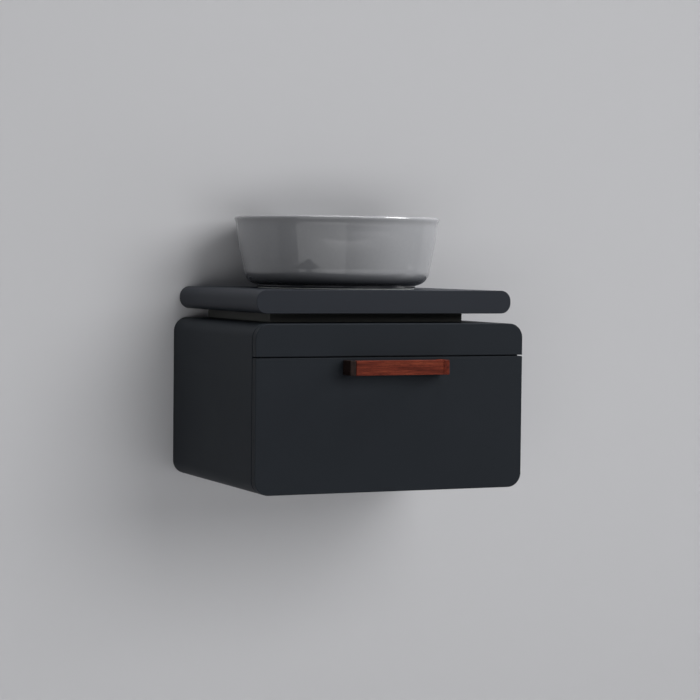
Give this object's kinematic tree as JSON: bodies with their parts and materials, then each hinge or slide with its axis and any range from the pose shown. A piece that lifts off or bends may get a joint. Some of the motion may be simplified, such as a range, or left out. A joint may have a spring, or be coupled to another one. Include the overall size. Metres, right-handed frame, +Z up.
{
  "type": "vessel sink on vanity",
  "caption": "Wall-hung bathroom vanity with rounded long corners, a deep drawer with a wooden handle, a raised counter slab and a round vessel basin with its waste and bottle trap.",
  "frame": {"origin": "middle of the wall rail's back face, on the wall plane", "axes": "+X to the right seen from the front, +Y into the wall, +Z up"},
  "size_m": [0.6, 0.528, 0.563],
  "materials": {
    "lacquer": "satin charcoal lacquer on MDF",
    "counter_lacquer": "satin charcoal lacquer on a 48 mm slab",
    "black_spacer": "matt black paint on MDF",
    "melamine": "melamine-faced chipboard",
    "drawer_board": "melamine-faced drawer board",
    "glazed_ceramic": "glossy white glaze on vitreous china",
    "chrome": "bright chrome plate",
    "silicone": "translucent silicone",
    "black_rubber": "black rubber",
    "white_plastic": "moulded white acetal",
    "zinc_steel": "zinc-plated steel",
    "red_wood": "oiled reddish hardwood"
  },
  "bodies": {
    "vanity": {"side_panel_left": "lacquer", "side_panel_right": "lacquer", "corner_post_top_left": "lacquer", "corner_post_top_right": "lacquer", "corner_post_bottom_left": "lacquer", "corner_post_bottom_right": "lacquer", "top_panel": "lacquer", "bottom_panel": "lacquer", "front_rail": "melamine", "back_rail_upper": "melamine", "back_rail_lower": "melamine", "front_fascia": "lacquer", "spacer_front": "black_spacer", "spacer_left": "black_spacer", "spacer_right": "black_spacer", "spacer_back": "black_spacer", "countertop": "counter_lacquer", "basin": "glazed_ceramic", "basin_seal": "silicone", "waste_body": "chrome", "waste_gasket_upper": "black_rubber", "waste_gasket_lower": "black_rubber", "waste_locknut": "chrome", "plug_guide": "white_plastic", "trap_inlet_nut": "chrome", "trap_inlet_pipe": "chrome", "trap_body": "chrome", "trap_cup": "chrome", "trap_outlet_nut": "chrome", "trap_outlet_pipe": "chrome", "wall_rosette": "chrome", "wall_rail": "zinc_steel", "hanger_body_left": "zinc_steel", "hanger_body_right": "zinc_steel", "hanger_hook_left": "zinc_steel", "hanger_hook_right": "zinc_steel", "runner_cabinet_left": "zinc_steel", "runner_cabinet_right": "zinc_steel"},
    "runner_middle_l": {"runner_middle_left": "zinc_steel"},
    "runner_middle_r": {"runner_middle_right": "zinc_steel"},
    "drawer": {"drawer_front": "lacquer", "drawer_side_left": "drawer_board", "drawer_side_right": "drawer_board", "drawer_box_front": "drawer_board", "drawer_base": "drawer_board", "drawer_back_left": "drawer_board", "drawer_back_right": "drawer_board", "drawer_recess_left": "drawer_board", "drawer_recess_right": "drawer_board", "drawer_recess_front": "drawer_board", "drawer_bumper_left": "silicone", "drawer_bumper_right": "silicone", "handle_bar": "red_wood", "handle_leg_left": "red_wood", "handle_leg_right": "red_wood", "handle_screw_left": "zinc_steel", "handle_screw_right": "zinc_steel", "runner_drawer_left": "zinc_steel", "runner_drawer_right": "zinc_steel"},
    "plug": {"drain_plug": "chrome"}
  },
  "joints": [
    {"name": "drawer_slide", "type": "slide", "parent": "vanity", "child": "drawer", "axis": [0, -1, 0], "range_m": [0, 0.35]},
    {"name": "runner_slide_left", "type": "slide", "parent": "vanity", "child": "runner_middle_l", "axis": [0, -1, 0], "range_m": [0, 0.18]},
    {"name": "runner_slide_right", "type": "slide", "parent": "vanity", "child": "runner_middle_r", "axis": [0, -1, 0], "range_m": [0, 0.18]},
    {"name": "plug_lift", "type": "slide", "parent": "vanity", "child": "plug", "axis": [0, 0, 1], "range_m": [0, 0.008]}
  ],
  "couplings": [
    {"joint": "runner_slide_left", "follows": "drawer_slide", "ratio": 0.5},
    {"joint": "runner_slide_right", "follows": "drawer_slide", "ratio": 0.5}
  ]
}
